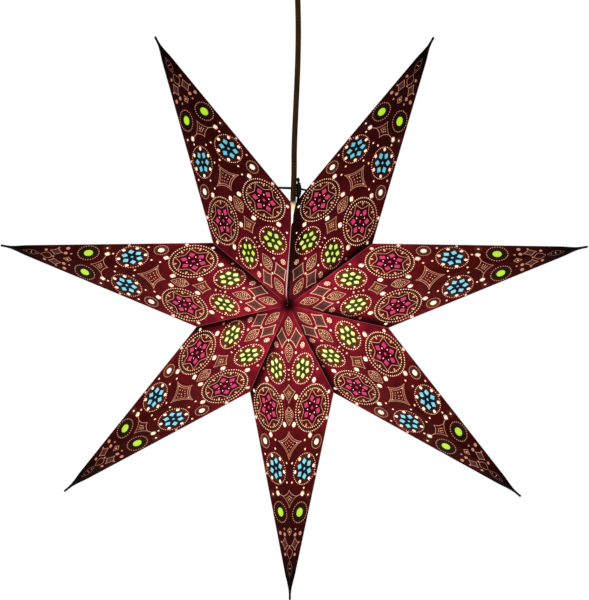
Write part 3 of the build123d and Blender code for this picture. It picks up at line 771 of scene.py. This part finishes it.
colour_sheets = {
    "pink": slab_mesh("pink_papers", [toothed(PINK, [15.6, 12.5], 6)], WALLS, CARD, PAPER, pink_dots),
    "lime": slab_mesh("lime_papers", [circle(LIME, 11.5, 18), circle(GREEN, 6.6, 14)], WALLS, CARD, PAPER),
    "blue": slab_mesh("blue_papers", [toothed(BLUE, [12.2, 9.6], 6)], WALLS, CARD, PAPER),
}
tab_sheet = slab_mesh("glue_tabs", [[tuple(corner) for corner in tab_outline]], clockwise, CARD, CARD)

# %% [markdown]
# The last point carries two loose flaps, front and rear. They bridge the open seam from the valley's edge
# and tuck in behind the first point, so only the far end of the seam lets light through. They lie in deep
# shade, so their map puts them where the card is darkest, near a tip.

# %% Seam flaps
FLAP_START, FLAP_END, FLAP_REACH, FLAP_SINK = 0.6, 124.0, 7.8, 4.5
FLAP_TAPERS = (2.0, 60.0)
SHADE_ALONG = 290.0
BOX = [[0, 1, 2, 3], [7, 6, 5, 4], [0, 4, 5, 1], [1, 5, 6, 2], [2, 6, 7, 3], [3, 7, 4, 0]]
seam_run = (notch - apex).normalized()
seam_inward = boundary_out.cross(seam_run)
flap_corners = [
    (FLAP_START, 0.0, 0.0),
    (FLAP_END, 0.0, 0.0),
    (FLAP_END - FLAP_TAPERS[1], FLAP_REACH, FLAP_SINK),
    (FLAP_START + FLAP_TAPERS[0], FLAP_REACH, FLAP_SINK),
]
places, faces, flats = [], [], []
for face in (1, -1):
    faces += [[len(places) + i for i in corners][::face] for corners in BOX]
    for level in (0.0, CARD):
        for run, out, sink in flap_corners:
            place = apex + seam_run * run + boundary_out * out + seam_inward * (sink + level)
            places.append(place * Vector((1, face, 1)))
            flats.append((SHADE_ALONG * MM, -tab_run.y * run * MM))
flap_sheet = mapped_mesh("seam_flaps", places, faces, flats)
print("flap inwards", [round(v, 2) for v in seam_inward])

# %% [markdown]
# ## Light and colour of the card
# The card is printed dark red and lets some lamp light through, so each of its materials has a dull
# base colour and a light of its own that fades towards the tips. Round patches behind the rosettes are
# printed in darker shades, which one small group draws for all of them.

# %% Round patch and paper grain groups
PATCH_BLUR = 0.7
round_patch, given = new_group("round patch", "Along", "Across", "Middle along", "Middle across", "Radius")
plus, minus, times, step = formula(round_patch)
dx = minus(given["Along"], given["Middle along"])
dy = minus(given["Across"], given["Middle across"])
distance = maths(round_patch, "SQRT", plus(times(dx, dx), times(dy, dy)))
hand_out(round_patch, {"Mask": step(minus(distance, given["Radius"]), PATCH_BLUR, -PATCH_BLUR)})

paper_grain, given = new_group("paper grain", "Scale")
place = add_node(paper_grain, "UVMap", uv_map=WALL_MAP).outputs["UV"]
fibre = noise(paper_grain, place, given["Scale"], 3.0, 0.6)
cloud = noise(paper_grain, place, maths(paper_grain, "MULTIPLY", given["Scale"], 0.07))
hand_out(paper_grain, {"Fibre": fibre, "Cloud": cloud})

# %% Printed card: colours of the ground and of the patches
CARD_GRAIN = 900.0
GROUND_REACH, GROUND_NEAR, GROUND_FAR = (60.0, 200.0), (0.34, 0.013, 0.031), (0.29, 0.015, 0.012)
PATCHES = [
    ((145.2, 0.0), 9.0, (0.44, 0.035, 0.025)),
    ((201.5, 0.0), 6.0, (0.44, 0.045, 0.03)),
    ((204.5, 27.8), 4.2, (0.4, 0.1, 0.045)),
    ((259.5, 0.0), 3.4, (0.5, 0.025, 0.015)),
    (PINK, 23.7, (0.14, 0.042, 0.014)),
    (PINK, 20.9, (0.28, 0.026, 0.012)),
    (PINK, 15.2, (0.14, 0.003, 0.016)),
    (LIME, 15.0, (0.28, 0.04, 0.018)),
    (LIME, 10.6, (0.09, 0.12, 0.015)),
    (BLUE, 15.4, (0.36, 0.055, 0.036)),
    (BLUE, 11.3, (0.012, 0.06, 0.14)),
    (GREEN, 9.6, (0.15, 0.055, 0.022)),
    (GREEN, 6.6, (0.06, 0.09, 0.01)),
    (PEARL, 6.6, (0.36, 0.09, 0.04)),
]
card, tree, shader = new_material("printed_card")
_, _, times, step = formula(tree)
where = use_group(tree, wall_light)
grain = use_group(tree, paper_grain, {"Scale": CARD_GRAIN})
here = {"Along": where["Along"], "Across": where["Across"]}
light = blend(tree, step(where["Along"], *GROUND_REACH), GROUND_NEAR, GROUND_FAR)
for middle, radius, tint in PATCHES:
    patch = {"Middle along": middle[0], "Middle across": middle[1], "Radius": radius}
    light = blend(tree, use_group(tree, round_patch, {**here, **patch})["Mask"], light, tint)

# %% Printed card: shade of the valleys, edges and tips
CLOUDS = (0.35, 0.65, 0.75, 1.2)
EDGE_LIGHT = (9.0, 1.0, 1.0, 1.3)
ALONG_SHADES = [(2.5, 11.0, 0.05, 1.0), (70.0, 140.0, 1.0, 1.25), (190.0, 225.0, 1.0, 0.75)]
TIP_SHADE = (250.0, 291.0, 1.0, 0.08)
# The crease's light is a fixed painted highlight on the card's cut edge; it doesn't fade with the lamp.
CREASE_EDGE_HIGHLIGHT = (0.72, 0.42, 0.40)
CARD_LIGHT, CARD_DARK, TIP_DARK = (0.018, 0.0015, 0.002), (0.010, 0.0010, 0.001), (0.003, 0.001, 0.001)

shade = times(step(grain["Cloud"], *CLOUDS), where["Shade"])
shade = times(shade, step(where["Edge"], *EDGE_LIGHT))
for ends in ALONG_SHADES:
    shade = times(shade, step(where["Along"], *ends))
tip_shade = step(where["Along"], *TIP_SHADE)
strength = times(times(shade, tip_shade), where["Glow"])
strength = add_node(tree, "CombineXYZ", {0: strength, 1: strength, 2: strength})
light = blend(tree, 1.0, light, strength.outputs[0], "MULTIPLY")
base = blend(tree, grain["Fibre"], CARD_LIGHT, CARD_DARK)
# Near the tips the base colour, too, darkens with the tip shade: painted shade, far from the lamp.
looks = {
    "Base Color": blend(tree, tip_shade, TIP_DARK, base),
    **lit_by(blend(tree, where["Crease"], light, CREASE_EDGE_HIGHLIGHT)),
    "Normal": bump(tree, grain["Fibre"], 0.25, 0.0001),
    "Roughness": step(grain["Fibre"], 0.3, 0.7, 0.5, 0.68),
    "Specular IOR Level": 0.03,
}
fill(tree, shader, looks)

# %% Lines, leaves, inside and coloured papers
FIBRES, PRINT_TIP, PRINT_DARK = (0.45, 0.65), (255.0, 280.0, 0.0, 0.6), (0.01, 0.002, 0.001)


def lit_paper(name, near, far, fade, base, speckle, shaded=0.0):
    """Paper or print that glows: near the lamp in one colour, far from it in another, with fibres."""
    material, tree, shader = new_material(name)
    _, minus, times, step = formula(tree)
    where = use_group(tree, wall_light)
    grain = use_group(tree, paper_grain, {"Scale": 420.0})
    light = blend(tree, maths(tree, "POWER", where["Glow"], fade), far, near)
    light = blend(tree, step(grain["Fibre"], *FIBRES, 0.0, speckle), light, far)
    # Prints on the shaded side of a valley and near the tips are painted darker: painted shade.
    if shaded:
        dark = times(minus(1.0, where["Shade"]), shaded)
        dark = maths(tree, "MAXIMUM", dark, step(where["Along"], *PRINT_TIP))
        light = blend(tree, dark, light, PRINT_DARK)
    worn = blend(tree, times(grain["Fibre"], 0.5), base, far)
    fill(tree, shader, {"Base Color": worn, **lit_by(light), "Roughness": 0.7, "Specular IOR Level": 0.2})
    return material


PAPERS = {
    "printed_lines": ((1.38, 0.74, 0.46), (0.28, 0.085, 0.055), 0.55, (0.1, 0.03, 0.02), 0.25, 0.7),
    "orange_leaves": ((0.24, 0.05, 0.014), (0.04, 0.006, 0.002), 0.45, (0.03, 0.008, 0.003), 0.9, 0.8),
    "greyed_diamonds": ((0.2, 0.056, 0.046), (0.015, 0.006, 0.004), 0.6, (0.03, 0.01, 0.009), 0.7, 0.9),
    "card_inside": ((1.45, 1.2, 0.88), (0.3, 0.12, 0.08), 0.35, (0.82, 0.8, 0.75), 0.1),
    "pink_paper": ((0.7, 0.07, 0.18), (0.34, 0.015, 0.075), 0.3, (0.3, 0.02, 0.08), 0.6),
    "lime_paper": ((1.6, 1.25, 0.75), (0.34, 0.6, 0.002), 1.2, (0.3, 0.4, 0.03), 0.4),
    "blue_paper": ((1.8, 2.6, 2.7), (0.01, 0.31, 0.36), 1.0, (0.06, 0.25, 0.32), 0.3),
}
papers = {name: lit_paper(name, *values) for name, values in PAPERS.items()}
inside_white = papers["card_inside"]
on_card = ("printed_lines", "card_inside", "orange_leaves", "greyed_diamonds")
card_materials = [card, *(papers[name] for name in on_card)]

# %% [markdown]
# ## Assembling the points
# Each point gets its own copy of the card and of its papers, turned into place. A star folded by hand
# doesn't spread evenly, so every place is turned a little further about the middle, by up to a degree.
# At the seam the last point lies in shadow and the first one in the light, so their maps get the marks,
# and the first point's loose edge bends. The tips, where all the layers meet, are pinched to thin sticks.
# The pieces ride on the point's body.

# %% Uneven spread and pinched tips
PINCH_START, PINCH_END, PINCH, TIP_STRETCH, STICK_HALF = 276.0, 296.0, 0.55, 5.0, 1.1
SPREAD = [(92.48, -0.95), (105.0, -0.98), (117.84, -0.45), (168.56, 0.47), (219.28, 0.40), (270.0, -0.5)]
SPREAD += [(320.72, -1.0), (371.44, -0.65), (422.16, -0.2), (435.0, 0.72), (447.52, 0.7), (452.48, -0.95)]
SEAM_BEND = [(0.0, 0.0), (6.0, -1.2), (12.0, -1.8), (44.0, 0.0), (82.0, 2.0), (101.0, 1.7), (125.0, 0.0)]


def between(rows, x):
    """The value at x, straight between the rows and level beyond them."""
    x = min(max(x, rows[0][0]), rows[-1][0])
    for (low, a), (high, b) in zip(rows, rows[1:]):
        if x <= high:
            return a + (b - a) * (x - low) / (high - low)


def spread_place(number, place):
    """A place in a point's own frame, moved to where the uneven star has it."""
    angle = math.degrees(point_angle(number) + math.atan2(place.z, place.x))
    turn = math.radians(between(SPREAD, angle))
    c, s = math.cos(turn), math.sin(turn)
    moved = Vector((place.x * c - place.z * s, place.y, place.x * s + place.z * c))
    if number == 1 and place.z < 0:
        towards_seam = Vector((boundary_out.x, 0, -boundary_out.z))
        share = math.atan2(-place.z, place.x) / half_angle
        moved += towards_seam * between(SEAM_BEND, math.hypot(place.x, place.z)) * share**2
    return moved


def pinched(place):
    """A place near a point's tip, moved so that the tip ends in a thin stick."""
    share = min(max((place.x - PINCH_START) / (PINCH_END - PINCH_START), 0.0), 1.0)
    if not share:
        return place
    half_width = max(TIP_RADIUS - place.x, 1.0) * notch.z / (TIP_RADIUS - notch.x)
    wanted = max(half_width * (1 - PINCH * share**1.5), STICK_HALF)
    return Vector((place.x + TIP_STRETCH * share**4, place.y, place.z * wanted / half_width))


def mark_upper_point(mesh, number):
    """Marks the map of a point next to the seam: both its walls, and the lit or dark wall at the seam."""
    wall_map = mesh.uv_layers[WALL_MAP].data
    sign = 1 if number == 1 else -1
    for polygon in mesh.polygons:
        corners = [wall_map[i] for i in polygon.loop_indices]
        at_seam = sign * sum(corner.uv.y for corner in corners) < 0
        for corner in corners:
            corner.uv.x += SEAM_MARK
            if at_seam:
                corner.uv.y = sign * SEAM_MARK - corner.uv.y


def add_piece(name, mesh, number):
    """A piece on a point, which stands for the CAD node of the same name."""
    piece = new_object(name + "_visual", mesh)
    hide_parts(name)
    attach(piece, body_of_point(number))
    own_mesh(piece)


def put_on_point(mesh, number, name, materials):
    """A copy of a mesh on one point."""
    copy = mesh.copy()
    for corner in copy.vertices:
        corner.co = spread_place(number, pinched(corner.co))
    if number in (1, POINTS):
        mark_upper_point(copy, number)
    copy.transform(point_matrix(number))
    for material in materials:
        copy.materials.append(material)
    add_piece(name, copy, number)


for number in range(1, POINTS + 1):
    put_on_point(folded_card, number, f"point_{number}", card_materials)
    for colour, sheet in colour_sheets.items():
        backed = [papers[f"{colour}_paper"], inside_white]
        put_on_point(sheet, number, f"{colour}_papers_{number}", backed)
    if number > 1:
        put_on_point(tab_sheet, number, f"glue_tabs_{number}", [card, inside_white])
put_on_point(flap_sheet, POINTS, "seam_tabs", [card])
print(POINTS, "points put together")

# %% [markdown]
# ## String that ties the seam
# A thin black string, twisted from two strands, goes from edge to edge behind the cord and is knotted
# beside it. Each strand winds round a smooth line, which is read from a NURBS curve.

# %% Twisted string
LINE_STEPS, STRING_ROUNDNESS, STRING_PITCH, STRAND_OFFSET = 16, 2, 2.2, 0.18
ASKEW = Vector((0.3, 1, 0.2))


def smooth_line(route):
    """Places along a NURBS curve that has the route's points as control points."""
    curve = new_curve("route")
    smooth_spline(curve, route, LINE_STEPS)
    mesh = as_mesh(curve)
    places = [corner.co.copy() for corner in mesh.vertices]
    bpy.data.curves.remove(curve)
    bpy.data.meshes.remove(mesh)
    return places


def twist(curve, places, thickness, pitch):
    """Two strands wound round a line of places."""
    for strand in range(2):
        spline = curve.splines.new("POLY")
        spline.points.add(len(places) - 1)
        travelled = 0.0
        for i, place in enumerate(places):
            ahead = (places[min(i + 1, len(places) - 1)] - places[max(i - 1, 0)]).normalized()
            sideways = ahead.cross(ASKEW).normalized()
            travelled += (place - places[max(i - 1, 0)]).length
            turn = Matrix.Rotation(2 * math.pi * (travelled / pitch + strand / 2), 3, ahead)
            spline.points[i].co = (*(place + turn @ sideways * thickness * STRAND_OFFSET), 1)
            spline.points[i].radius = thickness * (0.5 - STRAND_OFFSET)


def string_piece(name, routes, number, thickness):
    """Twisted strings along routes in millimetres, tied to a point."""
    curve = new_curve("strands", STRING_ROUNDNESS)
    for route in routes:
        twist(curve, smooth_line([place * MM for place in route]), thickness * MM, STRING_PITCH * MM)
    curve.materials.append(string_black)
    mesh = as_mesh(curve)
    add_piece(name, mesh, number)
    print(name, len(mesh.polygons), "faces")


# %% Finishes with fine grain
fine_grain, given = new_group("fine grain", "Scale", "Stretch")
place = add_node(fine_grain, "TexCoord").outputs["Object"]
stretch = add_node(fine_grain, "CombineXYZ", {0: 1.0, 1: 1.0, 2: given["Stretch"]})
stretched = add_node(fine_grain, "VectorMath", {0: place, 1: stretch.outputs[0]}, operation="MULTIPLY")
fine = noise(fine_grain, stretched.outputs[0], given["Scale"], 4.0)
cloud = noise(fine_grain, place, maths(fine_grain, "MULTIPLY", given["Scale"], 0.06))
hand_out(fine_grain, {"Grain": fine, "Cloud": cloud})


def grained(name, light, dark, roughness, scale, bump_strength, stretch=1.0, metallic=0.0, spread=0.1):
    """A finish with fine grain: two shades, a spread of roughness and a bump."""
    material, tree, shader = new_material(name)
    grain = use_group(tree, fine_grain, {"Scale": scale, "Stretch": stretch})
    clouds = ramp(tree, grain["Cloud"], 0.35, 0.65, 0.0, 0.5)
    mixed = add_node(tree, "Math", {0: grain["Grain"], 1: 0.5, 2: clouds}, operation="MULTIPLY_ADD")
    looks = {
        "Base Color": blend(tree, mixed.outputs[0], light, dark),
        "Roughness": ramp(tree, grain["Grain"], 0.3, 0.7, roughness - spread, roughness + spread),
        "Metallic": metallic,
        "Normal": bump(tree, grain["Grain"], bump_strength, 0.0002),
    }
    fill(tree, shader, looks)
    return material, tree, shader


string_black, _, _ = grained("string_black", (0.012, 0.011, 0.010), (0.004, 0.004, 0.004), 0.8, 2400.0, 0.6)

# %% String, knot and its ends
TIE_REACHES, EDGE_GAP, STRING, STRING_GAP = (19.6, 16.6), 0.4, 2.8, 0.3
RIGHT_SHARE = 0.8
KNOT_OFFSET, KNOT_SET_BACK, KNOT_RISE, KNOT_REACH, CORD_LEAN = 6.2, 3.5, 1.4, 2.4, 0.9
BEHIND_CORD, BEHIND_RISE = (-6.0, 3.0), 0.6
left_place, right_place = [notch + (tip - notch).normalized() * reach for reach in TIE_REACHES]
left_edge = point_matrix(1) @ spread_place(1, Vector((left_place.x, 0, -left_place.z))) / MM
right_edge = point_matrix(POINTS) @ spread_place(POINTS, right_place) / MM
knot = Vector((STAR.x + KNOT_OFFSET, KNOT_SET_BACK, right_edge.z + KNOT_RISE))
set_back = CORD_LEAN + CORD_DIAMETER / MM / 2 + STRING_GAP + STRING / 2
behind = [Vector((STAR.x + shift, set_back, knot.z + BEHIND_RISE)) for shift in BEHIND_CORD]
left_start = left_edge + (behind[0] - left_edge).normalized() * EDGE_GAP
left_end = knot + (behind[1] - knot).normalized() * KNOT_REACH
right_start = knot + (right_edge - knot).normalized() * KNOT_REACH
right_end = right_edge + (knot - right_edge).normalized() * EDGE_GAP
string_piece("tie_string_left", [[left_start, *behind, left_end]], 1, STRING)
middle = (right_start + right_end) / 2
string_piece("tie_string_right", [[right_start, middle, right_end]], POINTS, RIGHT_SHARE * STRING)

KNOT_TURNS = [(-0.2, 4.0, 2.5), (-0.1, 2.1, 2.9), (0.1, 0.1, 3.0), (0.1, -1.9, 3.0), (0.0, -3.9, 3.0)]
KNOT_TURNS += [(-0.2, -5.8, 2.9), (-0.4, -7.4, 2.6)]
KNOT_STRING, TURN_DROP, TURN_STEPS = 2.5, 2.0, 8
wound = []
for across, height, radius in KNOT_TURNS:
    reach = radius - KNOT_STRING / 2
    for i in range(TURN_STEPS):
        drop = height - TURN_DROP * (i / TURN_STEPS - 0.5)
        wound.append(knot + Vector((*polar((across, 0), reach, 2 * math.pi * i / TURN_STEPS), drop)))

TAILS = [Vector((-0.7, 0.4, 9.4)), Vector((-0.6, -0.2, -12.0))]
TAIL_LOOP, TAIL_NECK = 0.8, 0.75
ends = []
for tail in TAILS:
    neck = knot + tail * TAIL_NECK
    out = math.copysign(TAIL_LOOP, tail.z)
    loop = [Vector((TAIL_LOOP, 0, 0)), Vector((0, 0, out)), Vector((-TAIL_LOOP, 0, 0))]
    ends.append([knot, neck] + [knot + tail + turn for turn in loop] + [neck])
string_piece("tie_knot", [wound] + ends, POINTS, KNOT_STRING)
print("string from", [round(v, 1) for v in left_edge], "to", [round(v, 1) for v in right_edge])

# %% [markdown]
# ## Lamp, holder and ceiling fitting
# These pieces keep their CAD shapes. Each gets a finish of its own: moulded plastic, brushed and plated
# metal, glazed ceramic and painted steel, all from the same fine grain group with other values. The lamp
# lights the cord's lower end and the holder, brighter or dimmer with their height.

# %% Finishes of the fittings
FITTINGS = {
    "cord_sheath": ((0.09, 0.04, 0.009), (0.045, 0.019, 0.005), 0.6, 900.0, 0.15, 0.05),
    "gland_plastic": ((0.03, 0.018, 0.011), (0.018, 0.011, 0.007), 0.42, 1500.0, 0.12),
    "holder_plastic": ((0.78, 0.75, 0.68), (0.68, 0.64, 0.56), 0.4, 1500.0, 0.1),
    "ceramic": ((0.82, 0.8, 0.74), (0.7, 0.67, 0.6), 0.55, 700.0, 0.2),
    "wire_sheath": ((0.03, 0.1, 0.32), (0.02, 0.06, 0.2), 0.4, 1200.0, 0.05),
    "brass": ((0.8, 0.56, 0.22), (0.62, 0.4, 0.14), 0.28, 2200.0, 0.06, 0.15, 1.0),
    "nickel": ((0.74, 0.72, 0.68), (0.58, 0.56, 0.52), 0.25, 2200.0, 0.06, 0.15, 1.0),
    "insulator": ((0.02, 0.02, 0.024), (0.01, 0.01, 0.012), 0.25, 900.0, 0.05),
    "steel": ((0.62, 0.62, 0.62), (0.46, 0.46, 0.47), 0.36, 1800.0, 0.1, 0.1, 1.0),
    "cup_paint": ((0.034, 0.022, 0.014), (0.022, 0.014, 0.009), 0.38, 1100.0, 0.12),
    "terminal_plastic": ((0.8, 0.79, 0.74), (0.7, 0.68, 0.62), 0.45, 1300.0, 0.1),
}
LIT_HEIGHTS = {
    "cord_sheath": (-275.5, -282.0, (0, 0, 0), (1.0, 0.84, 0.5)),
    "holder_plastic": (-322.0, -300.0, (0.16, 0.13, 0.09), (1.0, 0.92, 0.76)),
}
SHEATH_GLOSS = 0.12
finishes = {}
for slot, values in FITTINGS.items():
    finishes[slot], tree, shader = grained(slot, *values)
    if slot in LIT_HEIGHTS:
        low, high, dim, bright = LIT_HEIGHTS[slot]
        place = add_node(tree, "TexCoord")
        height = add_node(tree, "SeparateXYZ", {0: place.outputs["Object"]})
        lit = blend(tree, ramp(tree, height.outputs["Z"], low * MM, high * MM), dim, bright)
        fill(tree, shader, lit_by(lit))
    if slot == "cord_sheath":
        fill(tree, shader, {"Specular IOR Level": SHEATH_GLOSS})

# %% Bulb glass and filament
HOT = 6.0
finishes["bulb_glass"], tree, shader = new_material("bulb_glass")
grain = use_group(tree, fine_grain, {"Scale": 160.0, "Stretch": 1.0})
smears = ramp(tree, grain["Grain"], 0.3, 0.7, 0.02, 0.09)
looks = {"Base Color": (0.98, 0.97, 0.94), "Transmission Weight": 1.0, "IOR": 1.5}
fill(tree, shader, {**looks, "Roughness": smears})

finishes["filament"], tree, shader = new_material("filament")
grain = use_group(tree, fine_grain, {"Scale": 1800.0, "Stretch": 0.3})
hot = blend(tree, grain["Grain"], (1.0, 0.70, 0.30), (1.0, 0.86, 0.55))
fill(tree, shader, {"Base Color": hot, **lit_by(hot, HOT), "Roughness": 0.6})

# %% Each fitting gets its finish
finished = 0
for row in frame["record"]["subparts"]:
    finish = finishes.get(row["material_slot"])
    if finish:
        mesh = nodes[row["node"]].data
        mesh.materials.clear()
        mesh.materials.append(finish)
        finished += 1
cord_curve.materials.append(finishes["cord_sheath"])
print(finished, "fittings finished")

# %% [markdown]
# ## Floor
# A pale round floor lies well below the star, out of the camera's view.

# %% Floor
FLOOR_RADIUS, FLOOR_DROP, FLOOR_CORNERS = 1.2, -1.25, 96
FLOOR_GLOW, FLOOR_TINT = 0.5, (0.98, 0.97, 0.95)
floor_mesh = bpy.data.meshes.new("floor")
floor_rim = circle((0, 0), FLOOR_RADIUS, FLOOR_CORNERS)
floor_mesh.from_pydata([(x, y, FLOOR_DROP) for x, y in floor_rim], [], [list(range(FLOOR_CORNERS))])
floor = new_object("floor", floor_mesh)
floor_pale, tree, shader = grained("floor_pale", (0.80, 0.79, 0.77), (0.76, 0.75, 0.73), 0.7, 40.0, 0.05)
fill(tree, shader, lit_by(FLOOR_TINT, FLOOR_GLOW))
floor_mesh.materials.append(floor_pale)

bpy.context.view_layer.update()
